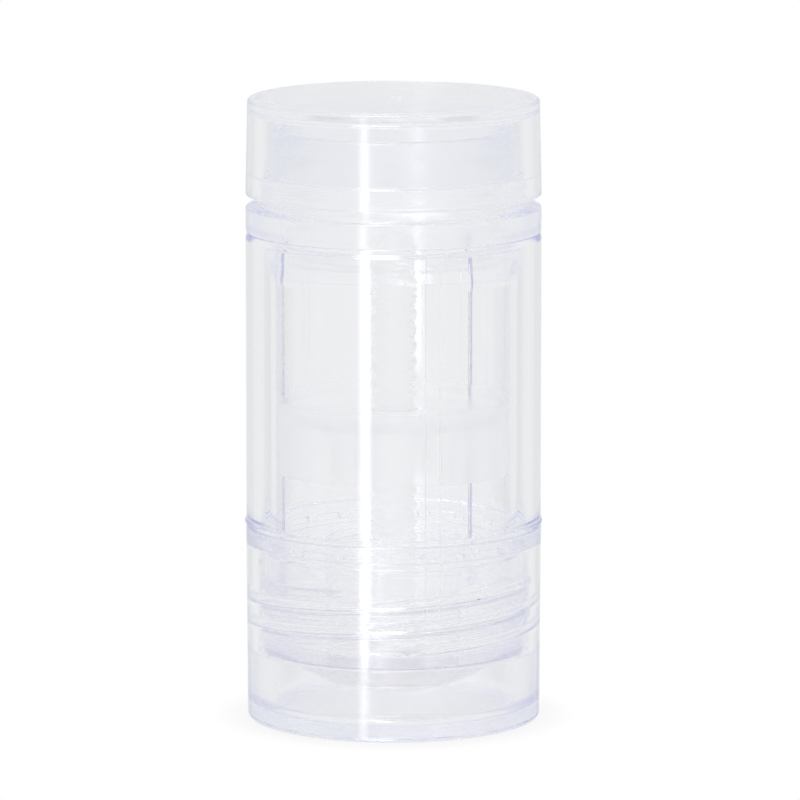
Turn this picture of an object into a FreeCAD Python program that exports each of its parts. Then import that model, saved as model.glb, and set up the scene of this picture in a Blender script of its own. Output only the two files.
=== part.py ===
"""Clear twist-up stick container, empty, with its cap on.

Frame: +Z up along the container's axis, origin at the middle of the face it
stands on.  All lengths are in millimetres and all angles in degrees.

Seven mouldings stack on the axis:
  base_cup       thick-bottomed outer cup that the hand turns
  drive_core     threaded cup inside it, with the pedestal of the screw
  screw_spindle  lead screw, pressed into the core's socket by its knurled end
  outer_sleeve   outer wall, standing on nineteen small feet inside the base
  inner_barrel   neck, collar and inner tube with three guide ribs
  elevator       platform that climbs the screw, keyed on the guide ribs
  cap            over-cap, lifted straight off
"""
import FreeCAD, Part
import math
import os

# ---------------------------------------------------------------- driving sizes
# Clearances
turning_gap = 0.2
running_clearance = 0.3
slip_clearance = 0.1
screw_clearance = 0.06
cut_margin = 1.0

# Main sizes, which the other radii follow from
sleeve_radius = 25.4
sleeve_wall = 2.6
sleeve_gap = 1.5
barrel_wall = 1.0

# Inner barrel
barrel_bore_top_below_collar = 1.8
barrel_above_core_floor = 5.5
barrel_shoulder_length = 5.3
barrel_shoulder_draft = 0.4
barrel_shoulder_taper = 0.8
rib_count = 3
rib_width = 2.5
rib_height = 0.7
rib_first_angle = -71.5
snap_bead_proud = 0.3
snap_bead_height = 1.0
collar_height = 4.5
collar_chamfer_radial = 1.0
collar_chamfer_axial = 0.3
neck_height = 13.3
neck_inset = 1.3
neck_bore_step = 0.9
neck_lead_height = 3.0
neck_lead_radial = 0.6
neck_outer_round = 1.1
neck_inner_round = 0.4
cap_seat_width = 1.3
cap_seat_height = 5.4
cap_bead_height = 2.9
cap_bead_proud = 0.12

# Outer sleeve
sleeve_length = 50.7
sleeve_rim_chamfer_radial = 0.25
sleeve_rim_chamfer_axial = 1.2
bead_proud = 0.25
bead_height = 1.0
spigot_wall = 0.9
spigot_length = 1.9
feet_count = 19
foot_width = 2.3
foot_height = 1.0

# Base cup
base_inset = 0.15
base_draft = 0.2
base_height = 33.7
base_foot_round = 0.7
base_foot_ring = 3.1
base_recess_depth = 0.4
base_floor_top = 2.1
base_ledge_width = 2.8
base_ledge_height = 12.1
base_chamber_round = 2.5
base_mouth_chamfer = 0.3

# Two-start thread between the base cup and the drive core
thread_starts = 2
thread_lead = 8.2
thread_turns = 1.2
thread_above_ledge = 3.3
thread_root_width = 1.5
thread_crest_width = 0.8
thread_depth = 0.8
thread_sink = 0.3

# Drive core
core_wall = 0.8
core_rim_floor_thickness = 2.4
core_bowl_inset = 1.9
core_bowl_drop = 7.4
core_bowl_thickness = 1.5
core_top_gap = 0.4
core_lip_height = 0.9
pedestal_radius = 11.8
pedestal_wall = 0.9
pedestal_above_core = 0.8
pedestal_recess_depth = 1.0
pedestal_deck_thickness = 1.2
socket_wall = 1.4
socket_length = 5.2

# Screw spindle
screw_radius = 4.0
screw_below_collar = 0.6
screw_tip_chamfer = 1.0
knurl_teeth = 24
knurl_depth = 0.25
knurl_clearance = 0.05

# Elevator, at rest half way up
elevator_bottom = 43.5
elevator_height = 12.3
elevator_skirt_wall = 1.2
elevator_deck_below_rim = 2.0
elevator_deck_thickness = 1.4
elevator_hub_wall = 2.34
funnel_wall = 1.0
funnel_below_skirt = 1.5
funnel_straight = 5.3
funnel_flare = 1.8
funnel_flare_height = 2.7

# Cap
cap_gap_above_collar = 1.8
cap_headroom = 3.3
cap_draft = 0.35
cap_neck_gap = 1.0
cap_ceiling = 1.8
cap_top_round = 0.6
cap_inner_round = 1.0
gate_dimple_radius = 1.6
gate_dimple_depth = 0.25
gate_nub_radius = 0.55
gate_nub_height = 0.15

# ------------------------------------------------------------- derived positions
sleeve_bore = sleeve_radius - sleeve_wall
barrel_radius = sleeve_bore - sleeve_gap
barrel_bore = barrel_radius - barrel_wall
rib_inner = barrel_bore - rib_height
sleeve_bottom = base_height + turning_gap
sleeve_top = sleeve_bottom + sleeve_length
bead_radius = sleeve_radius + bead_proud
spigot_radius = sleeve_bore + spigot_wall
spigot_bottom = sleeve_bottom - spigot_length
feet_bottom = spigot_bottom - foot_height

core_inner = barrel_radius + running_clearance
core_radius = core_inner + core_wall
core_bottom = base_ledge_height
core_floor_top = core_bottom + core_rim_floor_thickness
core_bowl_radius = core_inner - core_bowl_inset
thread_lowest = base_ledge_height + thread_above_ledge
base_shoulder_height = feet_bottom - turning_gap
core_top = base_shoulder_height - core_top_gap
pedestal_bore = pedestal_radius - pedestal_wall
pedestal_height = core_top + pedestal_above_core

base_radius = sleeve_radius - base_inset
base_top_radius = base_radius + base_draft
base_thread_bore = core_radius + thread_depth + running_clearance
base_chamber_radius = base_thread_bore - base_ledge_width
base_counterbore = spigot_radius + running_clearance
base_recess_radius = base_radius - base_foot_ring

barrel_bottom = core_floor_top + barrel_above_core_floor
barrel_bore_top = sleeve_top - barrel_bore_top_below_collar
collar_bottom = sleeve_top
collar_top = collar_bottom + collar_height
collar_radius = sleeve_radius
neck_top = collar_top + neck_height
neck_radius = sleeve_bore - neck_inset
neck_bore = barrel_bore - neck_bore_step
cap_seat = collar_top + cap_seat_height
cap_seat_radius = neck_radius + cap_seat_width

cap_bottom = collar_top + cap_gap_above_collar
cap_top = neck_top + cap_headroom + cap_ceiling
cap_mouth_radius = sleeve_radius
cap_top_radius = cap_mouth_radius - cap_draft
cap_bore = neck_radius + cap_neck_gap

screw_bottom = core_bottom
screw_top = collar_bottom - screw_below_collar
nut_bore = screw_radius + screw_clearance
elevator_radius = barrel_bore - running_clearance
elevator_top = elevator_bottom + elevator_height
elevator_hub_radius = nut_bore + elevator_hub_wall
funnel_radius = pedestal_bore - turning_gap


# --------------------------------------------------------------------- helpers
def corner_arc(before, corner, after, radius):
    """Start, middle and end of the arc that rounds one corner of an outline."""
    to_before = (before - corner).normalize()
    to_after = (after - corner).normalize()
    half_angle = to_before.getAngle(to_after) / 2.0
    setback = radius / math.tan(half_angle)
    bisector = (to_before + to_after).normalize()
    centre = corner + bisector * (radius / math.sin(half_angle))
    middle = centre - bisector * radius
    return corner + to_before * setback, middle, corner + to_after * setback


def outline(points):
    """Closed face in the XZ plane from (r, z) or (r, z, corner radius)."""
    corners = [FreeCAD.Vector(point[0], 0, point[1]) for point in points]
    edges = []
    ends = []
    for index, point in enumerate(points):
        corner = corners[index]
        if len(point) == 3:
            after = corners[(index + 1) % len(points)]
            start, middle, end = corner_arc(corners[index - 1], corner, after, point[2])
            ends.append((start, Part.Arc(start, middle, end).toShape(), end))
        else:
            ends.append((corner, None, corner))
    for index, (_, arc, leave) in enumerate(ends):
        if arc is not None:
            edges.append(arc)
        arrive = ends[(index + 1) % len(ends)][0]
        if leave.distanceToPoint(arrive) > 1e-6:
            edges.append(Part.LineSegment(leave, arrive).toShape())
    return Part.Face(Part.Wire(Part.__sortEdges__(edges)))


def spun(face):
    """Solid of revolution of a face in the XZ plane about Z."""
    return face.revolve(FreeCAD.Vector(0, 0, 0), FreeCAD.Vector(0, 0, 1), 360)


def turned(points):
    """Solid of revolution about Z from an outline of (r, z) points."""
    return spun(outline(points))


def ring(inner, outer, low, high):
    """Plain ring, or a disc where the inner radius is zero."""
    return turned([(inner, low), (outer, low), (outer, high), (inner, high)])


def around(shape, angle):
    """Copy of a shape, turned about the axis."""
    copy = shape.copy()
    copy.rotate(FreeCAD.Vector(0, 0, 0), FreeCAD.Vector(0, 0, 1), angle)
    return copy


def radial_block(inner, outer, width, low, high):
    """Block that straddles the +X axis between two radii."""
    corner = FreeCAD.Vector(inner, -width / 2.0, low)
    return Part.makeBox(outer - inner, width, high - low, corner)


def helical_ridge(root, crest, low, angle):
    """Right-hand thread ridge; its root is sunk into the wall that carries it."""
    helix = Part.makeHelix(thread_lead, thread_lead * thread_turns, root)
    sink = thread_sink if crest < root else -thread_sink
    half_root = thread_root_width / 2.0
    half_crest = thread_crest_width / 2.0
    section = Part.makePolygon([
        FreeCAD.Vector(root + sink, 0, -half_root),
        FreeCAD.Vector(root, 0, -half_root),
        FreeCAD.Vector(crest, 0, -half_crest),
        FreeCAD.Vector(crest, 0, half_crest),
        FreeCAD.Vector(root, 0, half_root),
        FreeCAD.Vector(root + sink, 0, half_root),
        FreeCAD.Vector(root + sink, 0, -half_root),
    ])
    ridge = Part.Wire(helix.Edges).makePipeShell([section], True, True)
    ridge.translate(FreeCAD.Vector(0, 0, low))
    return around(ridge, angle)


def thread(root, crest, low, first_angle):
    """All starts of one thread, evenly spaced about the axis."""
    step = 360.0 / thread_starts
    return [helical_ridge(root, crest, low, first_angle + step * start) for start in range(thread_starts)]


def bowl_cap(radius, drop, rim_height):
    """Solid cap of a sphere, hanging from a flat top of the given radius."""
    sphere = (radius ** 2 + drop ** 2) / (2.0 * drop)
    middle_radius = radius / 2.0
    middle_height = rim_height - drop + sphere - math.sqrt(sphere ** 2 - middle_radius ** 2)
    rim = FreeCAD.Vector(radius, 0, rim_height)
    middle = FreeCAD.Vector(middle_radius, 0, middle_height)
    pole = FreeCAD.Vector(0, 0, rim_height - drop)
    centre = FreeCAD.Vector(0, 0, rim_height)
    arc = Part.Arc(rim, middle, pole).toShape()
    axis = Part.LineSegment(pole, centre).toShape()
    top = Part.LineSegment(centre, rim).toShape()
    return spun(Part.Face(Part.Wire([arc, axis, top])))


def below_bowl():
    """Everything under the bowl's middle surface, to trim what stands in it."""
    half = core_bowl_thickness / 2.0
    room = ring(0, base_radius, 0, core_bottom)
    return room.cut(bowl_cap(core_bowl_radius - half, core_bowl_drop - half, core_bottom))


# --------------------------------------------------------------------- mouldings
def base_cup():
    """Outer cup: thick lower wall, ledge for the core, threaded upper bore."""
    body = turned([
        (0, base_recess_depth),
        (base_recess_radius - base_recess_depth, base_recess_depth),
        (base_recess_radius, 0),
        (base_radius, 0, base_foot_round),
        (base_top_radius, base_height),
        (base_counterbore + base_mouth_chamfer, base_height),
        (base_counterbore, base_height - base_mouth_chamfer),
        (base_counterbore, base_shoulder_height),
        (base_thread_bore, base_shoulder_height),
        (base_thread_bore, base_ledge_height),
        (base_chamber_radius, base_ledge_height),
        (base_chamber_radius, base_floor_top, base_chamber_round),
        (0, base_floor_top),
    ])
    mesh_angle = 180.0 / thread_starts
    ridges = thread(base_thread_bore, base_thread_bore - thread_depth, thread_lowest, mesh_angle)
    return body.fuse(ridges).removeSplitter()


def drive_core():
    """Threaded cup with a bowl-shaped floor, a pedestal and the screw's socket."""
    bowl_inner_radius = core_bowl_radius - core_bowl_thickness
    lip_inner = barrel_radius + slip_clearance
    wall = turned([
        (bowl_inner_radius, core_bottom),
        (core_radius, core_bottom),
        (core_radius, core_top),
        (lip_inner, core_top),
        (lip_inner, core_top - core_lip_height),
        (core_inner, core_top - core_lip_height - (core_inner - lip_inner)),
        (core_inner, core_floor_top),
        (bowl_inner_radius, core_floor_top),
    ])
    bowl_outer = bowl_cap(core_bowl_radius, core_bowl_drop, core_bottom)
    bowl_inner = bowl_cap(bowl_inner_radius, core_bowl_drop - core_bowl_thickness, core_bottom)
    bowl = bowl_outer.cut(bowl_inner)
    deck_top = pedestal_height - pedestal_recess_depth
    deck_bottom = deck_top - pedestal_deck_thickness
    below = core_bottom - core_bowl_drop
    socket_top = core_bottom + socket_length
    tube = ring(pedestal_bore, pedestal_radius, below, pedestal_height)
    deck = ring(screw_radius + slip_clearance, pedestal_bore + slip_clearance, deck_bottom, deck_top)
    socket = ring(0, screw_radius + socket_wall, below, socket_top)
    socket = socket.cut(ring(0, screw_radius + knurl_clearance, screw_bottom, socket_top))
    ridges = thread(core_radius, core_radius + thread_depth, thread_lowest, 0)
    outside = below_bowl()
    return wall.fuse([bowl, tube.cut(outside), deck, socket.cut(outside)] + ridges).removeSplitter()


def screw_spindle():
    """Lead screw at its outer thread diameter, with a knurled lower end."""
    knurl_top = screw_bottom + socket_length
    shaft = turned([
        (0, knurl_top),
        (screw_radius, knurl_top),
        (screw_radius, screw_top - screw_tip_chamfer),
        (screw_radius - screw_tip_chamfer, screw_top),
        (0, screw_top),
    ])
    corners = []
    for tooth in range(2 * knurl_teeth):
        radius = screw_radius - knurl_depth * (tooth % 2)
        angle = math.pi * tooth / knurl_teeth
        corners.append(FreeCAD.Vector(radius * math.cos(angle), radius * math.sin(angle), screw_bottom))
    corners.append(corners[0])
    knurl = Part.Face(Part.makePolygon(corners)).extrude(FreeCAD.Vector(0, 0, socket_length))
    return shaft.fuse(knurl).removeSplitter()


def outer_sleeve():
    """Outer wall with a bead at its foot and a spigot that stands on small feet."""
    body = turned([
        (sleeve_bore, spigot_bottom),
        (spigot_radius, spigot_bottom),
        (spigot_radius, sleeve_bottom),
        (bead_radius - bead_height / 4.0, sleeve_bottom),
        (bead_radius, sleeve_bottom + bead_height / 4.0),
        (bead_radius, sleeve_bottom + bead_height / 2.0),
        (sleeve_radius, sleeve_bottom + bead_height),
        (sleeve_radius, sleeve_top - sleeve_rim_chamfer_axial),
        (sleeve_radius - sleeve_rim_chamfer_radial, sleeve_top),
        (sleeve_bore, sleeve_top),
    ])
    foot_ring = ring(sleeve_bore, spigot_radius, feet_bottom, spigot_bottom)
    block = radial_block(sleeve_bore - cut_margin, spigot_radius + cut_margin, foot_width,
                         feet_bottom, spigot_bottom)
    feet = [foot_ring.common(around(block, 360.0 * foot / feet_count)) for foot in range(feet_count)]
    return body.fuse(feet).removeSplitter()


def inner_barrel():
    """Neck, collar and inner tube, with ribs that keep the elevator from turning."""
    shoulder_radius = sleeve_bore - slip_clearance
    shoulder_bottom = collar_bottom - barrel_shoulder_length
    lip_bottom = core_top - core_lip_height - turning_gap - snap_bead_proud
    bead_crest = barrel_radius + snap_bead_proud - slip_clearance
    cap_bead = collar_top + cap_bead_height
    body = turned([
        (barrel_bore, barrel_bottom),
        (barrel_radius, barrel_bottom),
        (barrel_radius, lip_bottom - snap_bead_height),
        (bead_crest, lip_bottom - snap_bead_height / 2.0),
        (bead_crest, lip_bottom),
        (barrel_radius, lip_bottom),
        (barrel_radius, shoulder_bottom - barrel_shoulder_taper),
        (shoulder_radius - barrel_shoulder_draft, shoulder_bottom),
        (shoulder_radius, collar_bottom),
        (collar_radius, collar_bottom),
        (collar_radius, collar_top - collar_chamfer_axial),
        (collar_radius - collar_chamfer_radial, collar_top),
        (cap_seat_radius, collar_top),
        (cap_seat_radius, cap_bead - 2 * cap_bead_proud),
        (cap_seat_radius + cap_bead_proud, cap_bead),
        (cap_seat_radius, cap_bead + 2 * cap_bead_proud),
        (cap_seat_radius, cap_seat),
        (neck_radius, cap_seat),
        (neck_radius, neck_top - neck_lead_height),
        (neck_radius - neck_lead_radial, neck_top, neck_outer_round),
        (neck_bore, neck_top, neck_inner_round),
        (neck_bore, barrel_bore_top),
        (barrel_bore, barrel_bore_top),
    ])
    block = radial_block(rib_inner, barrel_bore + slip_clearance, rib_width, barrel_bottom, barrel_bore_top)
    ribs = [around(block, rib_first_angle + 360.0 * rib / rib_count) for rib in range(rib_count)]
    return body.fuse(ribs).removeSplitter()


def elevator():
    """Platform: skirt, recessed deck, threaded hub and a funnel-shaped inner ring."""
    deck_top = elevator_top - elevator_deck_below_rim
    deck_bottom = deck_top - elevator_deck_thickness
    skirt_inner = elevator_radius - elevator_skirt_wall
    funnel_bottom = elevator_bottom - funnel_below_skirt
    flare_bottom = funnel_bottom + funnel_straight
    flare_top = flare_bottom + funnel_flare_height
    skirt = ring(skirt_inner, elevator_radius, elevator_bottom, elevator_top)
    deck = ring(nut_bore, skirt_inner + slip_clearance, deck_bottom, deck_top)
    hub = ring(nut_bore, elevator_hub_radius, elevator_bottom, deck_top)
    funnel = turned([
        (funnel_radius - funnel_wall, funnel_bottom),
        (funnel_radius, funnel_bottom),
        (funnel_radius, flare_bottom),
        (funnel_radius + funnel_flare, flare_top),
        (funnel_radius + funnel_flare, deck_top - slip_clearance),
        (funnel_radius + funnel_flare - funnel_wall, deck_top - slip_clearance),
        (funnel_radius + funnel_flare - funnel_wall, flare_top),
        (funnel_radius - funnel_wall, flare_bottom),
    ])
    notch_width = rib_width + 2 * running_clearance
    notch = radial_block(rib_inner - running_clearance, barrel_bore, notch_width,
                         elevator_bottom - cut_margin, elevator_top + cut_margin)
    notches = [around(notch, rib_first_angle + 360.0 * rib / rib_count) for rib in range(rib_count)]
    return skirt.fuse([deck, hub, funnel]).cut(notches).removeSplitter()


def cap():
    """Over-cap, stepped inside where it rests on the neck's seat."""
    mouth_bore = cap_seat_radius + running_clearance
    dimple_floor = cap_top - gate_dimple_depth
    body = turned([
        (mouth_bore, cap_bottom),
        (cap_mouth_radius, cap_bottom),
        (cap_top_radius, cap_top, cap_top_round),
        (gate_dimple_radius, cap_top),
        (gate_dimple_radius - gate_dimple_depth, dimple_floor),
        (gate_nub_radius, dimple_floor),
        (gate_nub_radius, dimple_floor + gate_nub_height),
        (0, dimple_floor + gate_nub_height),
        (0, cap_top - cap_ceiling),
        (cap_bore, cap_top - cap_ceiling, cap_inner_round),
        (cap_bore, cap_seat),
        (mouth_bore, cap_seat),
    ])
    return body


mouldings = {
    "base_cup": base_cup,
    "drive_core": drive_core,
    "screw_spindle": screw_spindle,
    "outer_sleeve": outer_sleeve,
    "inner_barrel": inner_barrel,
    "elevator": elevator,
    "cap": cap,
}

os.makedirs("parts", exist_ok=True)
for name, build in mouldings.items():
    shape = build()
    print(name, "solids", len(shape.Solids), "valid", shape.isValid(), "volume", round(shape.Volume, 1))
    shape.exportStep("parts/" + name + ".step")
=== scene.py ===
"""Dresses the empty twist-up stick container.

Every moulding is turned again at a fine resolution, with its small edge
rounds, the two-start base thread, the lead screw's thread, the guide ribs,
the feet and the knurl.  Lengths are in millimetres until a mesh is made, and
angles in degrees until they are used.
"""
import bpy
import math
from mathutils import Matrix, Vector


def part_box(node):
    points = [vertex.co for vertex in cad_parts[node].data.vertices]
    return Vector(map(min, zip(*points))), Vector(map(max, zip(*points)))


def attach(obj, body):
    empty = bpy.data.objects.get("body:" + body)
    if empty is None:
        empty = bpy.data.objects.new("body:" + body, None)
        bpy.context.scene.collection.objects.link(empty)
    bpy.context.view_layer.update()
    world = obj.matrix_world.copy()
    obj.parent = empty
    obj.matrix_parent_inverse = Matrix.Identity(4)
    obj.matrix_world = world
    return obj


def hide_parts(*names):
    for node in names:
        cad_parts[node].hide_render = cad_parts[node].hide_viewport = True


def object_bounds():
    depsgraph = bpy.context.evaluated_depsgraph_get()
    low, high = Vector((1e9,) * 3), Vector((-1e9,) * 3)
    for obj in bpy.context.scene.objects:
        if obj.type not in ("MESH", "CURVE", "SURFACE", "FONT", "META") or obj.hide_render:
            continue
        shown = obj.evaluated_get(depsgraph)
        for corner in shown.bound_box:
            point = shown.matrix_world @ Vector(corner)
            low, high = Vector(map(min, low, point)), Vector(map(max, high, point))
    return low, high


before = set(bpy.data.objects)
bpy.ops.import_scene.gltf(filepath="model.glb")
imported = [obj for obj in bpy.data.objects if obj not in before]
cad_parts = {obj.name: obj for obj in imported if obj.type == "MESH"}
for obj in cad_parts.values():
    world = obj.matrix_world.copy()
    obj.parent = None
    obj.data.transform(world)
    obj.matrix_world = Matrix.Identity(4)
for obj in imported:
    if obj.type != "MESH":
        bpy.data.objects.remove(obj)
cad_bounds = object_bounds()

MM = 0.001
COLUMNS = 360
EDGE_ROUND = 0.12
ROUND_STEPS = 5
RIDGE_ROUND_STEPS = 4
BOWL_STEPS = 14
SHARP_ANGLE = 40
SEAM_GAP = 0.03
SAME_POINT = 1e-5
ON_WALL = 1e-4
LONGEST_SETBACK = 0.45
COLUMN_SPREAD = 0.15
RIB_FLANK = 0.3


# ------------------------------------------------------------------ CAD places
def reach(node):
    """Bottom, top and radius of a CAD node, in millimetres."""
    low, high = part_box(node)
    return low[2] / MM, high[2] / MM, (high[0] - low[0]) / 2 / MM


_, base_top, base_top_radius = reach("base_cup")
_, core_top, core_thread_radius = reach("drive_core")
screw_bottom, screw_top, screw_radius = reach("screw_spindle")
feet_bottom, sleeve_top, bead_radius = reach("outer_sleeve")
barrel_bottom, neck_top, collar_radius = reach("inner_barrel")
funnel_bottom, elevator_top, elevator_radius = reach("elevator")
cap_bottom, cap_top, cap_mouth_radius = reach("cap")

# ------------------------------------------------- sizes that no box shows
# Clearances
running_clearance = 0.3
turning_gap = 0.2

# Outer sleeve and the walls inside it
sleeve_wall = 2.6
sleeve_gap = 1.5
barrel_wall = 1.0
spigot_wall = 0.9
feet_count = 19
foot_width = 2.3
foot_height = 1.0

# Neck, collar and guide ribs of the barrel
neck_inset = 1.3
neck_bore_step = 0.9
collar_height = 4.5
cap_seat_width = 1.3
cap_seat_height = 5.4
rib_angles = [-71.5, 48.5, 168.5]
rib_width = 2.5
rib_height = 0.7

# Base cup and drive core
base_draft = 0.2
base_floor_top = 2.1
base_ledge_width = 2.8
core_wall = 0.8
core_rim_floor_thickness = 2.4
core_bowl_drop = 7.4
core_bowl_thickness = 1.5
pedestal_radius = 11.8
pedestal_wall = 0.9
pedestal_above_core = 0.8
socket_length = 5.2

# Two-start thread between them
thread_starts = 2
thread_lead = 8.2
thread_turns = 1.2
thread_depth = 0.8
thread_root_width = 1.6
thread_crest_width = 0.7
thread_round = 0.2
thread_above_ledge = 3.3
thread_run_out = 0.04
threaded_wall_margin = 0.8

# Lead screw's thread
screw_pitch = 2.8
screw_depth = 0.5
screw_root_width = 2.2
screw_crest_width = 0.5
screw_round = 0.5
screw_clearance = 0.1
screw_turns = 100

# Places that follow from these
sleeve_radius = collar_radius
sleeve_bore = sleeve_radius - sleeve_wall
spigot_radius = sleeve_bore + spigot_wall
barrel_radius = sleeve_bore - sleeve_gap
barrel_bore = barrel_radius - barrel_wall
neck_radius = sleeve_bore - neck_inset
neck_bore = barrel_bore - neck_bore_step
cap_seat_radius = neck_radius + cap_seat_width
collar_top = sleeve_top + collar_height
cap_seat = collar_top + cap_seat_height

core_wall_radius = core_thread_radius - thread_depth
core_inner = core_wall_radius - core_wall
core_wall_top = core_top - pedestal_above_core
ledge = screw_bottom
threaded_wall_bottom = ledge + threaded_wall_margin
thread_lowest = ledge + thread_above_ledge
socket_top = ledge + socket_length
base_radius = base_top_radius - base_draft
base_thread_bore = core_thread_radius + running_clearance
nut_bore = screw_radius + screw_clearance


# ------------------------------------------------------------------- outlines
def rounded(corners, default=EDGE_ROUND, closed=True, steps=ROUND_STEPS):
    """Points of an outline of (r, z) or (r, z, round) corners, with each corner rounded."""
    points = []
    count = len(corners)
    for index, corner in enumerate(corners):
        here = Vector(corner[:2])
        radius = corner[2] if len(corner) > 2 else default
        is_end = not closed and index in (0, count - 1)
        if radius == 0 or is_end or (closed and corner[0] == 0):
            points.append((here.x, here.y))
            continue
        before = Vector(corners[index - 1][:2]) - here
        after = Vector(corners[(index + 1) % count][:2]) - here
        turn = before.angle(after)
        longest = LONGEST_SETBACK * min(before.length, after.length)
        setback = min(radius / math.tan(turn / 2), longest)
        radius = setback * math.tan(turn / 2)
        bisector = (before.normalized() + after.normalized()).normalized()
        centre = here + bisector * (radius / math.sin(turn / 2))
        start = here + before.normalized() * setback - centre
        end = here + after.normalized() * setback - centre
        sweep = start.angle_signed(end)
        for step in range(steps + 1):
            angle = -sweep * step / steps
            cosine = math.cos(angle)
            sine = math.sin(angle)
            points.append((centre.x + start.x * cosine - start.y * sine,
                           centre.y + start.x * sine + start.y * cosine))
    return points


def open_line(*corners):
    """Rounded points of an outline that other points carry on from."""
    return rounded(corners, closed=False)


def bowl(radius, drop, rim_height):
    """Points of a shallow bowl, from its rim to its pole."""
    sphere = (radius ** 2 + drop ** 2) / (2 * drop)
    half = math.asin(radius / sphere)
    centre = rim_height - drop + sphere
    points = []
    for step in range(BOWL_STEPS + 1):
        angle = half * (1 - step / BOWL_STEPS)
        points.append((sphere * math.sin(angle), centre - sphere * math.cos(angle)))
    points[-1] = (0, rim_height - drop)
    return points


def with_rows(points, low, high, radius, step):
    """Points with extra rows on the upright wall at one radius, between two heights."""
    result = []
    for point, following in zip(points, points[1:] + points[:1]):
        result.append(point)
        on_wall = abs(point[0] - radius) < ON_WALL and abs(following[0] - radius) < ON_WALL
        if on_wall and abs(point[1] - following[1]) > 2 * step:
            bottom, top = sorted((point[1], following[1]))
            start = max(bottom, low)
            rows = int((min(top, high) - start) / step)
            heights = [start + step * row for row in range(rows + 1)]
            heights = [height for height in heights if bottom + ON_WALL < height < top - ON_WALL]
            if following[1] < point[1]:
                heights.reverse()
            result.extend((radius, height) for height in heights)
    return result


def smooth_step(value):
    """0 below 0, 1 above 1 and an S-curve between."""
    value = min(max(value, 0.0), 1.0)
    return value * value * (3 - 2 * value)


# -------------------------------------------------------------------- threads
class ThreadedWall:
    """Stretch of an upright wall whose rows of points climb with its thread.

    section is the ridge's outline, as (distance along Z from its middle, share
    of the full depth).  A negative lead is a left-hand thread, and a negative
    depth cuts the ridge's space into the wall.
    """

    def __init__(self, radius, low, high, lead, starts, depth, section, first_angle, lowest, turns):
        self.radius = radius
        self.low = low
        self.high = high
        self.lead = lead
        self.depth = depth
        self.lowest = lowest
        self.turns = turns
        self.per_turn = starts * len(section) * (1 if lead > 0 else -1)
        spacing = abs(lead) / starts
        first = low - max(lead, 0)
        last = high + max(-lead, 0)
        middle = lowest - lead * first_angle / 360
        index = math.floor((first - middle) / spacing) - 1
        self.climbing = []
        while middle + (index - 1) * spacing < last:
            for offset, share in section:
                self.climbing.append((self, middle + index * spacing + offset, offset, share))
            index += 1

    def rows(self, downwards=False):
        """The wall's rows, from its bottom up, or from its top down."""
        return self.climbing[::-1] if downwards else self.climbing

    def place(self, height, offset, share, turn):
        """Radius and height of a row's point at one angle."""
        height += self.lead * turn / (2 * math.pi)
        along = (height - offset - self.lowest) / abs(self.lead)
        run_out = smooth_step(min(along, self.turns - along) / thread_run_out)
        held = min(max(height, self.low), self.high)
        if held != height:
            run_out = 0
        return self.radius + self.depth * share * run_out, held


def ridge_section(root, crest, depth, round_size, spacing):
    """Rounded outline of one thread ridge, with the wall up to half way to the next one."""
    corners = [(-spacing / 2, 0), (-root / 2, 0), (-crest / 2, depth), (crest / 2, depth),
               (root / 2, 0), (spacing / 2, 0)]
    points = rounded(corners, round_size, closed=False, steps=RIDGE_ROUND_STEPS)
    return [(offset, height / depth) for offset, height in points[:-1]]


BASE_SECTION = ridge_section(thread_root_width, thread_crest_width, thread_depth, thread_round,
                             thread_lead / thread_starts)
SCREW_SECTION = ridge_section(screw_root_width, screw_crest_width, screw_depth, screw_round, screw_pitch)


def base_thread(radius, top, depth, first_angle):
    """The two-start thread between the base cup and the drive core, on one of its walls."""
    return ThreadedWall(radius, threaded_wall_bottom, top, thread_lead, thread_starts, depth,
                        BASE_SECTION, first_angle, thread_lowest, thread_turns)


def screw_thread(radius, low, high, depth, section):
    """The left-hand thread between the lead screw and the elevator's hub, on one of its walls."""
    return ThreadedWall(radius, low, high, -screw_pitch, 1, depth, section, 0, socket_top, screw_turns)


# --------------------------------------------------------------------- meshes
def turned_away(angle, other):
    """Degrees between two angles, either way round."""
    return abs((angle - other + 180) % 360 - 180)


def column_angles(count=COLUMNS, edges=()):
    """Even angles in degrees, with closer ones on each side of every feature's edge."""
    spread = COLUMN_SPREAD
    angles = {round(360.0 * column / count, 4) for column in range(count)}
    for edge in edges:
        angles -= {angle for angle in angles if turned_away(angle, edge) < 1.5 * spread}
        for offset in (-spread, -spread / 3, spread / 3, spread):
            angles.add(round((edge + offset) % 360, 4))
    return sorted(angles)


def seam_partners(points):
    """For each row of the last column, the row of the first column that continues it."""
    partners = list(range(len(points)))
    climbing = [index for index, point in enumerate(points) if len(point) > 2]
    if climbing:
        wall = points[climbing[0]][0]
        upwards = points[climbing[0]][1] < points[climbing[-1]][1]
        shift = wall.per_turn if upwards else -wall.per_turn
        for index in climbing:
            partners[index] = min(max(index + shift, climbing[0]), climbing[-1])
    return partners


def turned_points(points, angles, shape):
    """Vertices of the outline's points at every angle, and their numbers column by column."""
    vertices = []
    columns = []
    poles = {}
    for angle in angles:
        turn = math.radians(angle)
        cosine = math.cos(turn)
        sine = math.sin(turn)
        column = []
        previous = None
        for index, point in enumerate(points):
            if len(point) > 2:
                wall, *row = point
                radius, height = wall.place(*row, turn)
            else:
                radius, height = point
            if radius == 0:
                if index not in poles:
                    poles[index] = len(vertices)
                    vertices.append((0, 0, height * MM))
                column.append(poles[index])
                continue
            if shape is not None:
                radius, height = shape(radius, height, turn)
            if previous is not None and math.dist(previous, (radius, height)) < SAME_POINT:
                column.append(column[-1])
                continue
            previous = (radius, height)
            column.append(len(vertices))
            vertices.append((radius * cosine * MM, radius * sine * MM, height * MM))
        columns.append(column)
    return vertices, columns


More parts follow.
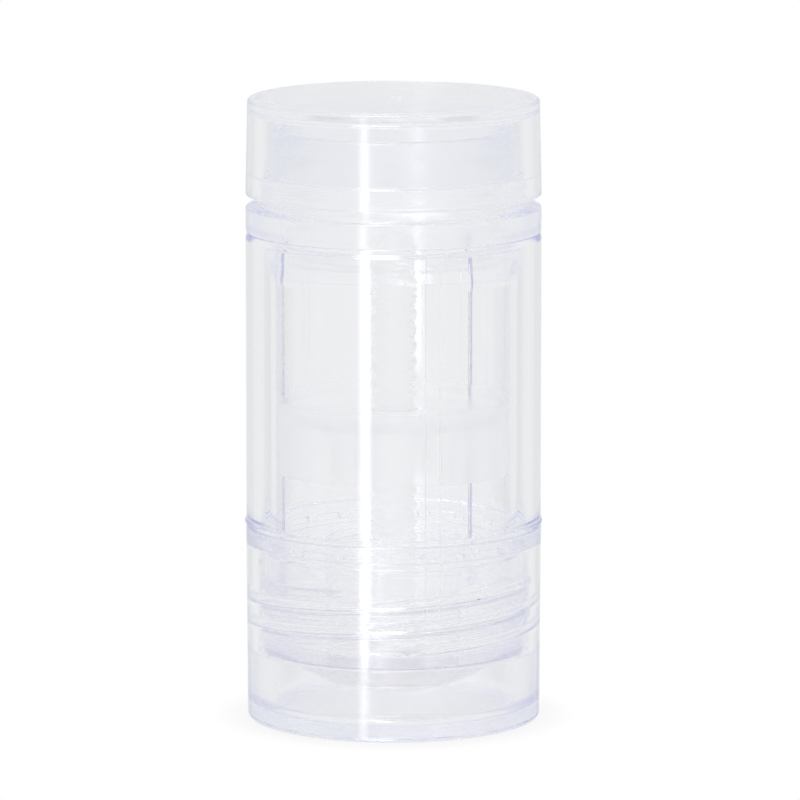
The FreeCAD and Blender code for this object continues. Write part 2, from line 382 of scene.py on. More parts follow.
def lathe(name, points, angles=None, shape=None, closed=True):
    """Closed mesh turned about Z; shape(r, z, angle) may move a point of a column."""
    vertices, columns = turned_points(points, angles or column_angles(), shape)
    faces = []
    rows = len(points) if closed else len(points) - 1
    partners = seam_partners(points)
    for index, column in enumerate(columns):
        following = columns[(index + 1) % len(columns)]
        if index == len(columns) - 1:
            following = [following[partner] for partner in partners]
        for row in range(rows):
            above = (row + 1) % len(points)
            face = list(dict.fromkeys((column[row], following[row], following[above], column[above])))
            if len(face) > 2:
                faces.append(face)
    mesh = bpy.data.meshes.new(name)
    mesh.from_pydata(vertices, [], faces)
    mesh.validate()
    mesh.shade_smooth()
    mesh.set_sharp_from_angle(angle=math.radians(SHARP_ANGLE))
    piece = bpy.data.objects.new(name, mesh)
    bpy.context.scene.collection.objects.link(piece)
    shading = piece.modifiers.new("flat_walls_stay_flat", "WEIGHTED_NORMAL")
    shading.mode = "FACE_AREA"
    shading.weight = 100
    shading.keep_sharp = True
    return piece


# ------------------------------------------------------------------- mouldings
def base_cup():
    """Outer cup: recessed foot, chamber, ledge for the core, threaded bore."""
    recess_depth = 0.4
    foot_ring = 3.1
    foot_round = 0.7
    mouth_chamfer = 0.1
    chamber_round = 2.5
    threaded_below_shoulder = 1.0
    recess_radius = base_radius - foot_ring
    counterbore = spigot_radius + running_clearance
    chamber = base_thread_bore - base_ledge_width
    shoulder = feet_bottom - turning_gap
    threaded_top = shoulder - threaded_below_shoulder
    thread = base_thread(base_thread_bore, threaded_top, -thread_depth, 180 / thread_starts)
    points = open_line(
        (0, recess_depth),
        (recess_radius - recess_depth, recess_depth),
        (recess_radius, 0),
        (base_radius, 0, foot_round),
        (base_top_radius, base_top, 0.2),
        (counterbore + mouth_chamfer, base_top, 0.3),
        (counterbore, shoulder),
        (base_thread_bore, shoulder),
        (base_thread_bore, threaded_top, 0),
    )
    points += thread.rows(downwards=True)
    points += open_line(
        (base_thread_bore, threaded_wall_bottom, 0),
        (base_thread_bore, ledge),
        (chamber, ledge),
        (chamber, base_floor_top, chamber_round),
        (0, base_floor_top),
    )
    return lathe("base_cup_shell", points, closed=False)


def drive_core():
    """Threaded cup with a bowl for its floor, a pedestal and the screw's socket."""
    bowl_inset = 1.9
    lip_proud = 0.2
    lip_height = 0.9
    deck_recess = 1.0
    deck_thickness = 1.2
    deck_clearance = 0.1
    socket_wall = 1.4
    knurl_clearance = 0.05
    threaded_below_rim = 0.5
    rim_of_bowl = 0.1
    tube_foot_drop = 0.3
    socket_foot_drop = 0.1
    bottom = ledge + SEAM_GAP
    floor_top = ledge + core_rim_floor_thickness
    bowl_radius = core_inner - bowl_inset
    bowl_inner = bowl_radius - core_bowl_thickness
    lip_inner = core_inner - lip_proud
    lip_bottom = core_wall_top - lip_height
    tube_inner = pedestal_radius - pedestal_wall
    socket = screw_radius + socket_wall
    socket_bore = screw_radius + knurl_clearance
    deck_bore = screw_radius + deck_clearance
    deck_top = core_top - deck_recess
    deck_bottom = deck_top - deck_thickness
    threaded_top = core_wall_top - threaded_below_rim
    thread = base_thread(core_wall_radius, threaded_top, thread_depth, 0)
    outer_bowl = bowl(bowl_radius, core_bowl_drop, bottom)
    inner_bowl = bowl(bowl_inner, core_bowl_drop - core_bowl_thickness, bottom)
    round_pedestal = [point for point in inner_bowl if point[0] > pedestal_radius]
    in_pedestal = [point for point in inner_bowl if socket < point[0] < tube_inner]
    points = outer_bowl[::-1]
    points += open_line(
        (bowl_radius, bottom),
        (core_wall_radius, bottom),
        (core_wall_radius, threaded_wall_bottom, 0),
    )[1:]
    points += thread.rows()
    points += open_line(
        (core_wall_radius, threaded_top, 0),
        (core_wall_radius, core_wall_top),
        (lip_inner, core_wall_top),
        (lip_inner, lip_bottom),
        (core_inner, lip_bottom - lip_proud),
        (core_inner, floor_top, 0.3),
        (bowl_inner, floor_top, 0.3),
        (bowl_inner, bottom + rim_of_bowl, 0),
    )
    points += round_pedestal
    points += open_line(
        (pedestal_radius, round_pedestal[-1][1] - tube_foot_drop, 0),
        (pedestal_radius, core_top),
        (tube_inner, core_top),
        (tube_inner, deck_top),
        (deck_bore, deck_top, 0.1),
        (deck_bore, deck_bottom, 0.1),
        (tube_inner, deck_bottom),
        (tube_inner, in_pedestal[0][1] - tube_foot_drop, 0),
    )
    points += in_pedestal
    points += open_line(
        (socket, in_pedestal[-1][1] - socket_foot_drop, 0),
        (socket, socket_top),
        (socket_bore, socket_top, 0.1),
        (socket_bore, ledge, 0),
        (0, ledge, 0),
    )
    return lathe("drive_core_shell", points, closed=False)


def screw_spindle():
    """Lead screw with its thread, a knurled lower end and a chamfered tip."""
    knurl_teeth = 24
    knurl_depth = 0.25
    knurl_row = 0.4
    columns_a_tooth = 6
    knurl_top_margin = 0.05
    knurl_end_bevel = 0.4
    relief_length = 0.5
    thread_below_tip = 1.2
    tip_chamfer = 1.0
    tip_length = 0.7
    root_radius = screw_radius - screw_depth
    bottom = screw_bottom + SEAM_GAP
    threaded_bottom = socket_top + relief_length
    threaded_top = screw_top - thread_below_tip
    thread = screw_thread(root_radius, threaded_bottom, threaded_top, screw_depth, SCREW_SECTION)
    points = open_line(
        (0, bottom),
        (screw_radius, bottom, 0.1),
        (screw_radius, socket_top, 0.1),
        (root_radius, socket_top + knurl_end_bevel, 0.1),
        (root_radius, threaded_bottom, 0),
    )
    points = with_rows(points, screw_bottom, socket_top, screw_radius, knurl_row)
    points += thread.rows()
    points += open_line(
        (root_radius, threaded_top, 0),
        (root_radius, screw_top - tip_length, 0.1),
        (screw_radius - tip_chamfer, screw_top, 0.2),
        (0, screw_top),
    )

    def knurled(radius, height, turn):
        if height < socket_top - knurl_top_margin and radius > screw_radius - ON_WALL:
            radius -= knurl_depth * (0.5 + 0.5 * math.cos(knurl_teeth * turn))
        return radius, height

    angles = column_angles(knurl_teeth * columns_a_tooth)
    return lathe("screw_spindle_shell", points, angles, knurled, closed=False)


def outer_sleeve():
    """Outer wall with a bead at its foot and a spigot that stands on small feet."""
    bead_height = 1.0
    bead_crest_height = 0.4
    bead_chamfer = 0.1
    rim_chamfer_radial = 0.25
    rim_chamfer_axial = 1.2
    foot_flank = 0.6
    foot_spacing = 360.0 / feet_count
    sleeve_bottom = base_top + turning_gap
    spigot_bottom = feet_bottom + foot_height
    top = sleeve_top - SEAM_GAP
    half_foot = math.degrees(foot_width / 2 / sleeve_bore)
    points = rounded([
        (sleeve_bore, feet_bottom, 0.1),
        (spigot_radius, feet_bottom, 0.1),
        (spigot_radius, sleeve_bottom),
        (bead_radius - bead_chamfer, sleeve_bottom, 0.15),
        (bead_radius, sleeve_bottom + bead_crest_height, 0.2),
        (sleeve_radius, sleeve_bottom + bead_height, 0.3),
        (sleeve_radius, sleeve_top - rim_chamfer_axial, 0.3),
        (sleeve_radius - rim_chamfer_radial, top, 0.2),
        (sleeve_bore, top),
    ])
    centres = [foot_spacing * foot for foot in range(feet_count)]
    edges = [centre + side * half_foot for centre in centres for side in (-1, 1)]

    def on_feet(radius, height, turn):
        if height < spigot_bottom:
            angle = math.degrees(turn)
            away = abs((angle + foot_spacing / 2) % foot_spacing - foot_spacing / 2)
            height += foot_height * smooth_step((away - half_foot) / foot_flank + 0.5)
        return radius, height

    return lathe("outer_sleeve_shell", points, column_angles(edges=edges), on_feet)


def rib_share(turn, width, radius):
    """1 on a guide rib and 0 off it."""
    away = min(turned_away(math.degrees(turn), rib) for rib in rib_angles)
    half = math.degrees(width / 2 / radius)
    return 1 - smooth_step((away - half) / RIB_FLANK + 0.5)


def rib_columns(width, radius):
    """Column angles with closer ones at the edges of the guide ribs."""
    half = math.degrees(width / 2 / radius)
    return column_angles(edges=[(rib + side * half) % 360 for rib in rib_angles for side in (-1, 1)])


def inner_barrel():
    """Neck, collar and inner tube, with the ribs that keep the elevator from turning."""
    snap_bead_below_base_top = 4.7
    snap_bead_height = 1.0
    snap_bead_proud = 0.2
    shoulder_length = 5.3
    shoulder_draft = 0.5
    shoulder_taper = 1.8
    shoulder_rise = 1.9
    shoulder_round = 8.0
    sleeve_clearance = 0.1
    bore_top_below_collar = 1.8
    collar_chamfer_radial = 1.0
    collar_chamfer_axial = 0.3
    cap_bead_height = 2.9
    cap_bead_proud = 0.12
    cap_bead_half_width = 0.6
    neck_lead_height = 3.0
    neck_lead_radial = 0.6
    neck_outer_round = 1.1
    neck_inner_round = 0.4
    lip = base_top - snap_bead_below_base_top
    shoulder = sleeve_top - shoulder_length
    bore_top = sleeve_top - bore_top_below_collar
    cap_bead = collar_top + cap_bead_height
    points = rounded([
        (barrel_bore, barrel_bottom),
        (barrel_radius, barrel_bottom),
        (barrel_radius, lip - snap_bead_height, 0.1),
        (barrel_radius + snap_bead_proud, lip - snap_bead_height / 2, 0.1),
        (barrel_radius + snap_bead_proud, lip, 0.1),
        (barrel_radius, lip, 0.1),
        (barrel_radius, shoulder - shoulder_taper, shoulder_round),
        (sleeve_bore - shoulder_draft, shoulder + shoulder_rise, shoulder_round),
        (sleeve_bore - sleeve_clearance, sleeve_top),
        (collar_radius, sleeve_top, 0.3),
        (collar_radius, collar_top - collar_chamfer_axial, 0.25),
        (collar_radius - collar_chamfer_radial, collar_top, 0.2),
        (cap_seat_radius, collar_top, 0.3),
        (cap_seat_radius, cap_bead - cap_bead_half_width, 0.6),
        (cap_seat_radius + cap_bead_proud, cap_bead, 0.6),
        (cap_seat_radius, cap_bead + cap_bead_half_width, 0.6),
        (cap_seat_radius, cap_seat, 0.2),
        (neck_radius, cap_seat, 0.3),
        (neck_radius, neck_top - neck_lead_height, 1.5),
        (neck_radius - neck_lead_radial, neck_top, neck_outer_round),
        (neck_bore, neck_top, neck_inner_round),
        (neck_bore, bore_top, 0.3),
        (barrel_bore, bore_top, 0.3),
    ])

    def ribbed(radius, height, turn):
        if radius < barrel_bore + ON_WALL and height < bore_top:
            radius = min(radius, barrel_bore - rib_height * rib_share(turn, rib_width, barrel_bore))
        return radius, height

    return lathe("inner_barrel_shell", points, rib_columns(rib_width, barrel_bore), ribbed)


def elevator():
    """Platform: skirt, recessed deck, threaded hub and a funnel-shaped inner ring."""
    skirt_wall = 1.2
    skirt_above_funnel = 1.5
    deck_below_rim = 2.0
    deck_thickness = 1.4
    hub_wall = 2.3
    hub_thread_inset = 0.6
    hub_thread_play = 0.05
    funnel_clearance = 0.2
    funnel_wall = 1.0
    funnel_straight = 5.3
    funnel_flare = 1.8
    funnel_flare_height = 2.7
    funnel_round = 1.0
    skirt_inner = elevator_radius - skirt_wall
    skirt_bottom = funnel_bottom + skirt_above_funnel
    deck_top = elevator_top - deck_below_rim
    deck_bottom = deck_top - deck_thickness
    hub = nut_bore + hub_wall
    notch = barrel_bore - rib_height - running_clearance
    notch_width = rib_width + 2 * running_clearance
    funnel = pedestal_radius - pedestal_wall - funnel_clearance
    flare = funnel + funnel_flare
    flare_bottom = funnel_bottom + funnel_straight
    flare_top = flare_bottom + funnel_flare_height
    threaded_top = deck_top - hub_thread_inset
    threaded_bottom = skirt_bottom + hub_thread_inset
    grooves = [(offset, 1 - share) for offset, share in SCREW_SECTION]
    thread = screw_thread(nut_bore, threaded_bottom, threaded_top, hub_thread_play - screw_depth, grooves)
    points = open_line(
        (nut_bore, threaded_bottom, 0),
        (nut_bore, skirt_bottom, 0.1),
        (hub, skirt_bottom, 0.2),
        (hub, deck_bottom, 0.5),
        (flare - funnel_wall, deck_bottom, 0.3),
        (flare - funnel_wall, flare_top, funnel_round),
        (funnel - funnel_wall, flare_bottom, funnel_round),
        (funnel - funnel_wall, funnel_bottom),
        (funnel, funnel_bottom),
        (funnel, flare_bottom, funnel_round),
        (flare, flare_top, funnel_round),
        (flare, deck_bottom, 0.3),
        (skirt_inner, deck_bottom, 0.3),
        (skirt_inner, skirt_bottom),
        (elevator_radius, skirt_bottom),
        (elevator_radius, elevator_top, 0.2),
        (skirt_inner, elevator_top, 0.2),
        (skirt_inner, deck_top, 0.5),
        (nut_bore, deck_top, 0.3),
        (nut_bore, threaded_top, 0),
    )
    points += thread.rows(downwards=True)

    def keyed(radius, height, turn):
        if radius > notch:
            radius -= (radius - notch) * rib_share(turn, notch_width, elevator_radius)
        return radius, height

    return lathe("elevator_shell", points, rib_columns(notch_width, elevator_radius), keyed)


def cap():
    """Over-cap, stepped inside where it rests on the neck's seat."""
    ceiling_thickness = 1.8
    neck_gap = 1.0
    draft = 0.35
    gate_dimple_radius = 1.6
    gate_dimple_depth = 0.25
    gate_nub_radius = 0.55
    gate_nub_draft = 0.05
    gate_nub_height = 0.15
    ceiling = cap_top - ceiling_thickness
    mouth = cap_seat_radius + running_clearance
    bore = neck_radius + neck_gap
    seat = cap_seat + SEAM_GAP
    dimple = cap_top - gate_dimple_depth
    nub_top = dimple + gate_nub_height
    points = rounded([
        (0, ceiling),
        (bore, ceiling, 1.0),
        (bore, seat, 0.2),
        (mouth, seat, 0.1),
        (mouth, cap_bottom, 0.3),
        (cap_mouth_radius, cap_bottom, 0.3),
        (cap_mouth_radius - draft, cap_top, 0.6),
        (gate_dimple_radius, cap_top, 0.1),
        (gate_dimple_radius - gate_dimple_depth, dimple, 0.1),
        (gate_nub_radius, dimple, 0.05),
        (gate_nub_radius - gate_nub_draft, nub_top, 0.05),
        (0, nub_top),
    ])
    return lathe("cap_shell", points, closed=False)


# ------------------------------------------------------------------- materials
WHITE = (1, 1, 1, 1)
TONER = (0.66, 0.69, 0.92, 1)
CLEAR_INDEX = 1.57
HAZY_INDEX = 1.12
WAVE_SCALE = 90
WAVE_DETAIL = 2
WAVE_STRENGTH = 0.1
WAVE_HEIGHT = 0.1
LEAST_UNEVENNESS = 0.75
UNEVENNESS_RANGE = 0.5
MIX_FIRST_NUMBER, MIX_SECOND_NUMBER, MIX_NUMBER = 2, 3, 0
MIX_FIRST_COLOUR, MIX_SECOND_COLOUR, MIX_COLOUR = 6, 7, 2


class Nodes:
    """Short way to add and chain nodes in a node tree."""

    def __init__(self, tree):
        self.tree = tree

    def new(self, kind):
        return self.tree.nodes.new("ShaderNode" + kind)

    def link(self, source, socket):
        self.tree.links.new(source, socket)

    def maths(self, operation, *values, clamp=False):
        node = self.new("Math")
        node.operation = operation
        node.use_clamp = clamp
        for socket, value in zip(node.inputs, values):
            if isinstance(value, (int, float)):
                socket.default_value = value
            else:
                self.link(value, socket)
        return node.outputs[0]

    def band(self, value, centre, half_width, softness):
        """1 within half_width of centre, falling to 0 over softness."""
        away = self.maths("ABSOLUTE", self.maths("SUBTRACT", value, centre))
        past = self.maths("SUBTRACT", half_width + softness, away)
        return self.maths("DIVIDE", past, softness, clamp=True)

    def ramp(self, value, start, end, low, high):
        """Smooth change from low to high as value goes from start to end."""
        node = self.new("MapRange")
        node.interpolation_type = "SMOOTHSTEP"
        for name, number in (("From Min", start), ("From Max", end), ("To Min", low), ("To Max", high)):
            node.inputs[name].default_value = number
        self.link(value, node.inputs["Value"])
        return node.outputs[0]

    def axes(self, coordinates):
        """The X, Y and Z of a coordinate output."""
        split = self.new("SeparateXYZ")
        self.link(coordinates, split.inputs[0])
        return split.outputs

    def in_zones(self, radius, up, zones):
        """1 in any of the zones, which are (least radius, most radius, bottom, top) in millimetres."""
        total = 0
        for least, most, bottom, top in zones:
            inside = self.maths("MULTIPLY", self.maths("GREATER_THAN", radius, least * MM),
                                self.maths("LESS_THAN", radius, most * MM))
            between = self.maths("MULTIPLY", self.maths("GREATER_THAN", up, bottom * MM),
                                 self.maths("LESS_THAN", up, top * MM))
            total = self.maths("MAXIMUM", total, self.maths("MULTIPLY", inside, between))
        return total


def clear_plastic(name, density, roughness, soft_roughness, soft_zones, toner_and_shade=(), index=CLEAR_INDEX):
    """Polished clear plastic with a faint blue toner and the slight waviness of a moulding.

    Faces in soft_zones are left less polished by the mould.  Each zone colour, (colour, zone),
    darkens the base colour of a zone's faces: partly the toner of the thick plastic behind them, partly
    painted shade.
    """
    material = bpy.data.materials.new(name)
    material.use_nodes = True
    tree = material.node_tree
    nodes = Nodes(tree)
    shader = tree.nodes["Principled BSDF"]
    shader.inputs["Base Color"].default_value = WHITE
    shader.inputs["Transmission Weight"].default_value = 1
    shader.inputs["IOR"].default_value = index
    coordinates = nodes.new("TexCoord").outputs["Object"]
    waves = nodes.new("TexNoise")
    waves.inputs["Scale"].default_value = WAVE_SCALE
    waves.inputs["Detail"].default_value = WAVE_DETAIL
    nodes.link(coordinates, waves.inputs["Vector"])
    bump = nodes.new("Bump")
    bump.inputs["Strength"].default_value = WAVE_STRENGTH
    bump.inputs["Distance"].default_value = WAVE_HEIGHT * MM
    nodes.link(waves.outputs["Fac"], bump.inputs["Height"])
    nodes.link(bump.outputs["Normal"], shader.inputs["Normal"])
    east, north, up = nodes.axes(coordinates)
    radius = nodes.maths("SQRT", nodes.maths("ADD", nodes.maths("MULTIPLY", east, east),
                                             nodes.maths("MULTIPLY", north, north)))
    soft = nodes.in_zones(radius, up, soft_zones)
    even = nodes.maths("ADD", nodes.maths("MULTIPLY", soft, soft_roughness - roughness), roughness)
    unevenness = nodes.maths("ADD", nodes.maths("MULTIPLY", waves.outputs["Fac"], UNEVENNESS_RANGE),
                             LEAST_UNEVENNESS)
    nodes.link(nodes.maths("MULTIPLY", even, unevenness), shader.inputs["Roughness"])
    source = None
    # Painted shade: each zone's faces get a darker base colour, partly for the toner of the thick plastic
    # behind them
    for toner_and_shade_colour, zone in toner_and_shade:
        colour = nodes.new("Mix")
        colour.data_type = "RGBA"
        colour.inputs[MIX_FIRST_COLOUR].default_value = WHITE
        colour.inputs[MIX_SECOND_COLOUR].default_value = (*toner_and_shade_colour, 1)
        nodes.link(nodes.in_zones(radius, up, [zone]), colour.inputs["Factor"])
        if source is not None:
            nodes.link(source, colour.inputs[MIX_FIRST_COLOUR])
        source = colour.outputs[MIX_COLOUR]
    if source is not None:
        nodes.link(source, shader.inputs["Base Color"])
    absorption = nodes.new("VolumeAbsorption")
    absorption.inputs["Color"].default_value = TONER
    absorption.inputs["Density"].default_value = density
    nodes.link(absorption.outputs["Volume"], tree.nodes["Material Output"].inputs["Volume"])
    return material


# Zones of faces, as (least radius, most radius, bottom, top)
AXIS = 0
OUTSIDE = 30
UNDER = 0
OVER = 200
INTO_WALL = 0.1
FLANK_INSET = 0.12
THREAD_FLANKS = (threaded_wall_bottom, core_top)
CHAMBER = (AXIS, 20.9, UNDER, ledge + INTO_WALL)
CHAMBER_FLOOR = (AXIS, 19.0, 1.0, base_floor_top + 0.2)
NECK = (AXIS, OUTSIDE, cap_seat, OVER)
NECK_BORE = (AXIS, neck_bore + INTO_WALL, sleeve_top, OVER)
CORE_INSIDE = (AXIS, core_inner + INTO_WALL, UNDER, OVER)
CORE_FLANGE = (19.0, OUTSIDE, ledge, ledge + 2.3)
CORE_BOWL = (AXIS, OUTSIDE, UNDER, ledge - 0.2)
CORE_THREAD = (core_wall_radius + FLANK_INSET, core_thread_radius - FLANK_INSET, *THREAD_FLANKS)
BASE_THREAD = (base_thread_bore - thread_depth + FLANK_INSET, base_thread_bore - FLANK_INSET,
               *THREAD_FLANKS)
CAP_INSIDE = (AXIS, neck_radius + 1.4, UNDER, cap_top - 1.0)
CAP_CEILING = (AXIS, 21.3, cap_top - 2.0, cap_top - 1.0)
SLEEVE_FOOT = (AXIS, OUTSIDE, feet_bottom - 0.5, base_top + 0.25)
SLEEVE_RIM = (AXIS, 25.2, sleeve_top - 0.2, sleeve_top + INTO_WALL)
RIB_FLANKS = (barrel_bore - rib_height + 0.06, barrel_bore - 0.05, barrel_bottom + 0.2, sleeve_top - 2.0)
ELEVATOR_SKIRT = (screw_radius + 1.0, OUTSIDE, UNDER, OVER)

# Zone colours: partly the blue toner of thick plastic, partly painted shade for darker tones; the rib one
# paints the ribs' dark lines
FLOOR_TONER_AND_SHADE = (0.87, 0.865, 0.89)
THREAD_TONER_AND_SHADE = (0.85, 0.85, 0.89)
NECK_TONER_AND_SHADE = (0.95, 0.96, 0.98)
RIB_TONER_AND_SHADE = (0.72, 0.71, 0.80)
FLANGE_TONER_AND_SHADE = (0.905, 0.895, 0.985)
BOWL_TONER_AND_SHADE = (0.95, 0.945, 0.94)
CEILING_TONER_AND_SHADE = (0.88, 0.88, 0.905)

FINISHES = {
    "clear_outer": clear_plastic(
        "clear_outer_shells", density=5.0, roughness=0.004, soft_roughness=0.15,
        soft_zones=[CHAMBER, SLEEVE_FOOT, SLEEVE_RIM],
        toner_and_shade=[(FLOOR_TONER_AND_SHADE, CHAMBER_FLOOR), (THREAD_TONER_AND_SHADE, BASE_THREAD)]),
    "clear_barrel": clear_plastic(
        "clear_inner_tube", density=4.0, roughness=0.004, soft_roughness=0.2,
        soft_zones=[NECK, NECK_BORE, SLEEVE_RIM],
        toner_and_shade=[(NECK_TONER_AND_SHADE, NECK), (RIB_TONER_AND_SHADE, RIB_FLANKS)]),
    "clear_core": clear_plastic(
        "clear_drive_core", density=5.0, roughness=0.006, soft_roughness=0.15,
        soft_zones=[CORE_INSIDE],
        toner_and_shade=[(FLANGE_TONER_AND_SHADE, CORE_FLANGE), (BOWL_TONER_AND_SHADE, CORE_BOWL), (THREAD_TONER_AND_SHADE, CORE_THREAD)]),
    "hazy_inner": clear_plastic(
        "hazy_working_parts", density=0.1, roughness=0.28, soft_roughness=0.32,
        soft_zones=[ELEVATOR_SKIRT], index=HAZY_INDEX),
    "clear_cap": clear_plastic(
        "clear_over_cap", density=2.0, roughness=0.01, soft_roughness=0.06,
        soft_zones=[CAP_INSIDE],
        toner_and_shade=[(CEILING_TONER_AND_SHADE, CAP_CEILING)]),
}
PIECES = {
    "base_cup": (base_cup, "base", "clear_outer"),
    "drive_core": (drive_core, "base", "clear_core"),
    "screw_spindle": (screw_spindle, "base", "hazy_inner"),
    "outer_sleeve": (outer_sleeve, "barrel", "clear_outer"),
    "inner_barrel": (inner_barrel, "barrel", "clear_barrel"),
    "elevator": (elevator, "platform", "hazy_inner"),
    "cap": (cap, "cap", "clear_cap"),
}

for node, (build, body, slot_name) in PIECES.items():
    piece = build()
    piece.data.materials.append(FINISHES[slot_name])
    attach(piece, body)
    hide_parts(node)


# ------------------------------------------------------------------ the studio
# Angles in degrees, lengths in metres; an azimuth is from the camera's side, a height from level
TENT_LEVEL = 0.866
TENT_COLOUR = (0.978, 0.986, 1.0, 1)
STRIP_LEVEL = 2.9
STRIP_AZIMUTH = -23.9
STRIP_HALF_WIDTH = 0.4
STRIP_SOFTNESS = 4.8
STRIP_FOOT_START = -8.3
STRIP_FOOT_END = -6.8
STRIP_UPPER_SHARE = 0.6
SHADE_LEVEL = -0.12
SHADE_AZIMUTH = 20
SHADE_HALF_WIDTH = 4
SHADE_SOFTNESS = 5
SHADE_HEIGHT = -10
SHADE_HALF_HEIGHT = 2.2
GLOW_LEVEL = 0.03
GLOW_HALF_WIDTH = 1
GLOW_SOFTNESS = 8
SEAM_SHARE = 0.07
SEAM_HEIGHT = 6.8
SEAM_HALF_HEIGHT = 1
ROW_SOFTNESS = 1
BOX_LEVEL = 4.0
BOX_AZIMUTH = -25
BOX_HEIGHT = 60
BOX_OUTER_ANGLE = 19
BOX_INNER_ANGLE = 13

TABLE_HALF_SIZE = 3.0
TABLE_DROP = 0.00005
SHADOW_REACH = 0.007
SHADOW_SAMPLES = 2
SHADOW_FULL = 0.5
SHADOW_LEVEL = 0.92

CAMERA_DISTANCE = 1.20
CAMERA_ELEVATION = 9.3
CAMERA_LENS = 313.5
CAMERA_CLIP_START = 0.01
AIM_EAST = 0.0011
AIM_ABOVE_MIDDLE = 0.0013


def sin_of(degrees):
    return math.sin(math.radians(degrees))


def cos_of(degrees):
    return math.cos(math.radians(degrees))


def studio_world():
    """White for the camera; round the object an even bright tent, with a strip light and a box.

    Behind the object the tent has two shaded bands with a faint glow between
    them, and a seam runs round it.
    """
    world = bpy.data.worlds.new("studio")
    bpy.context.scene.world = world
    world.use_nodes = True
    tree = world.node_tree
    nodes = Nodes(tree)
    direction = nodes.new("TexCoord").outputs["Generated"]
    east, north, up = nodes.axes(direction)
    azimuth = nodes.maths("ARCTAN2", east, nodes.maths("MULTIPLY", north, -1))
    strip = nodes.band(azimuth, math.radians(STRIP_AZIMUTH), math.radians(STRIP_HALF_WIDTH),
                       math.radians(STRIP_SOFTNESS))
    strip_share = nodes.ramp(up, sin_of(STRIP_FOOT_START), sin_of(STRIP_FOOT_END), 1.0, STRIP_UPPER_SHARE)
    strip = nodes.maths("MULTIPLY", strip, strip_share)
    from_behind = nodes.maths("SUBTRACT", math.pi, nodes.maths("ABSOLUTE", azimuth))
    shade = nodes.band(from_behind, math.radians(SHADE_AZIMUTH), math.radians(SHADE_HALF_WIDTH),
                       math.radians(SHADE_SOFTNESS))
    shade_rows = nodes.band(up, sin_of(SHADE_HEIGHT), sin_of(SHADE_HALF_HEIGHT), sin_of(ROW_SOFTNESS))
    shade = nodes.maths("MULTIPLY", shade, shade_rows)
    glow = nodes.band(from_behind, 0, math.radians(GLOW_HALF_WIDTH), math.radians(GLOW_SOFTNESS))
    tent = nodes.maths("ADD", nodes.maths("MULTIPLY", shade, SHADE_LEVEL),
                       nodes.maths("MULTIPLY", glow, GLOW_LEVEL))
    tent = nodes.maths("ADD", tent, TENT_LEVEL)
    seam = nodes.band(up, sin_of(SEAM_HEIGHT), sin_of(SEAM_HALF_HEIGHT), sin_of(ROW_SOFTNESS))
    seam_level = nodes.maths("SUBTRACT", 1.0, nodes.maths("MULTIPLY", seam, SEAM_SHARE))
    tent = nodes.maths("MULTIPLY", tent, seam_level)
    towards_box = nodes.new("VectorMath")
    towards_box.operation = "DOT_PRODUCT"
    nodes.link(direction, towards_box.inputs[0])
    towards_box.inputs[1].default_value = (cos_of(BOX_HEIGHT) * sin_of(BOX_AZIMUTH),
                                           -cos_of(BOX_HEIGHT) * cos_of(BOX_AZIMUTH),
                                           sin_of(BOX_HEIGHT))
    box = nodes.ramp(towards_box.outputs["Value"], cos_of(BOX_OUTER_ANGLE), cos_of(BOX_INNER_ANGLE),
                     0.0, BOX_LEVEL)
    level = nodes.maths("ADD", nodes.maths("MULTIPLY", strip, STRIP_LEVEL), tent)
    level = nodes.maths("ADD", level, box)
    seen_by_camera = nodes.new("LightPath").outputs["Is Camera Ray"]
    strength = nodes.new("Mix")
    strength.data_type = "FLOAT"
    nodes.link(seen_by_camera, strength.inputs["Factor"])
    nodes.link(level, strength.inputs[MIX_FIRST_NUMBER])
    strength.inputs[MIX_SECOND_NUMBER].default_value = 1.0
    colour = nodes.new("Mix")
    colour.data_type = "RGBA"
    nodes.link(seen_by_camera, colour.inputs["Factor"])
    colour.inputs[MIX_FIRST_COLOUR].default_value = TENT_COLOUR
    colour.inputs[MIX_SECOND_COLOUR].default_value = WHITE
    background = tree.nodes["Background"]
    nodes.link(colour.outputs[MIX_COLOUR], background.inputs["Color"])
    nodes.link(strength.outputs[MIX_NUMBER], background.inputs["Strength"])


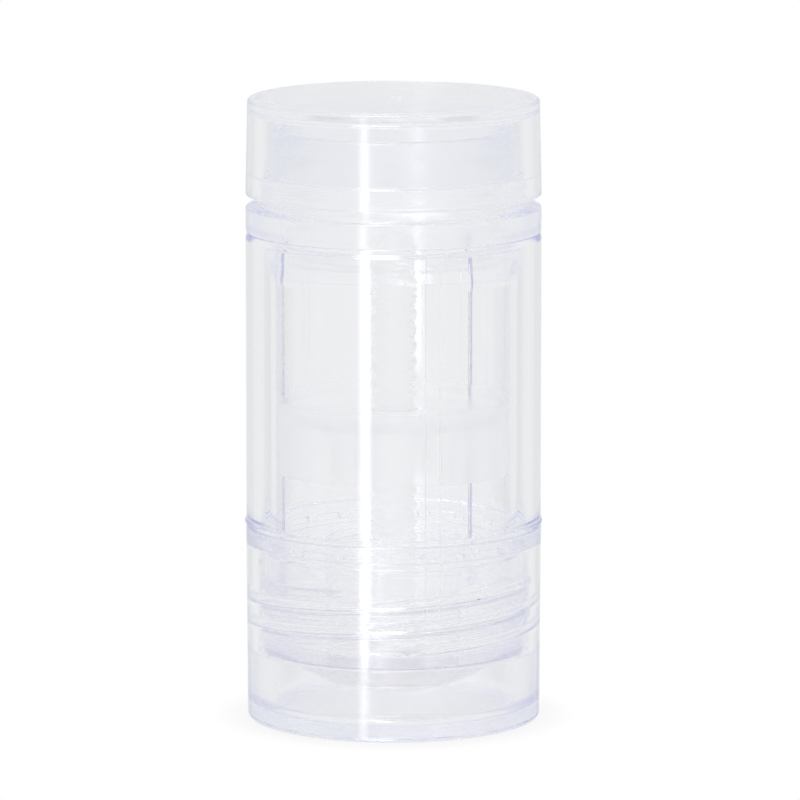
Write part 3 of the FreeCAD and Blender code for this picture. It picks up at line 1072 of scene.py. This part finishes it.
def table_top():
    """White table top that shows the soft shadow, and lets the object's own rays pass."""
    mesh = bpy.data.meshes.new("table_top")
    half = TABLE_HALF_SIZE
    corners = [(-half, -half, 0), (half, -half, 0), (half, half, 0), (-half, half, 0)]
    mesh.from_pydata(corners, [], [(0, 1, 2, 3)])
    table = bpy.data.objects.new("table_top", mesh)
    bpy.context.scene.collection.objects.link(table)
    material = bpy.data.materials.new("white_table")
    material.cycles.emission_sampling = "NONE"
    material.use_nodes = True
    tree = material.node_tree
    tree.nodes.remove(tree.nodes["Principled BSDF"])
    nodes = Nodes(tree)
    near = nodes.new("AmbientOcclusion")
    near.samples = SHADOW_SAMPLES
    near.inputs["Distance"].default_value = SHADOW_REACH
    shade = nodes.ramp(near.outputs["AO"], SHADOW_FULL, 1.0, SHADOW_LEVEL, 1.0)
    white = nodes.new("Emission")
    nodes.link(shade, white.inputs["Strength"])
    clear = nodes.new("BsdfTransparent")
    path = nodes.new("LightPath")
    seen_by_object = nodes.maths("MAXIMUM", path.outputs["Is Glossy Ray"],
                                 path.outputs["Is Transmission Ray"])
    mix = nodes.new("MixShader")
    nodes.link(seen_by_object, mix.inputs[0])
    nodes.link(white.outputs[0], mix.inputs[1])
    nodes.link(clear.outputs[0], mix.inputs[2])
    nodes.link(mix.outputs[0], tree.nodes["Material Output"].inputs["Surface"])
    mesh.materials.append(material)
    table.location.z = -TABLE_DROP


def camera():
    """Long lens in front, a little above, aimed just over the container's middle."""
    low, high = cad_bounds
    target = Vector((AIM_EAST, 0, (low[2] + high[2]) / 2 + AIM_ABOVE_MIDDLE))
    towards_camera = Vector((0, -cos_of(CAMERA_ELEVATION), sin_of(CAMERA_ELEVATION)))
    place = target + towards_camera * CAMERA_DISTANCE
    data = bpy.data.cameras.new("camera")
    data.lens = CAMERA_LENS
    data.clip_start = CAMERA_CLIP_START
    eye = bpy.data.objects.new("camera", data)
    eye.location = place
    eye.rotation_euler = (target - place).to_track_quat("-Z", "Y").to_euler()
    bpy.context.scene.collection.objects.link(eye)
    bpy.context.scene.camera = eye


studio_world()
table_top()
camera()

# Light crosses and is reflected in many clear walls before it is dim enough to drop.
CLEAR_BOUNCES = 300
TRANSPARENT_BOUNCES = 32
scene = bpy.context.scene
scene.view_settings.view_transform = "Standard"
scene.cycles.blur_glossy = 0
scene.world.cycles.sampling_method = "NONE"
scene.cycles.max_bounces = CLEAR_BOUNCES
scene.cycles.transmission_bounces = CLEAR_BOUNCES
scene.cycles.glossy_bounces = CLEAR_BOUNCES
scene.cycles.transparent_max_bounces = TRANSPARENT_BOUNCES
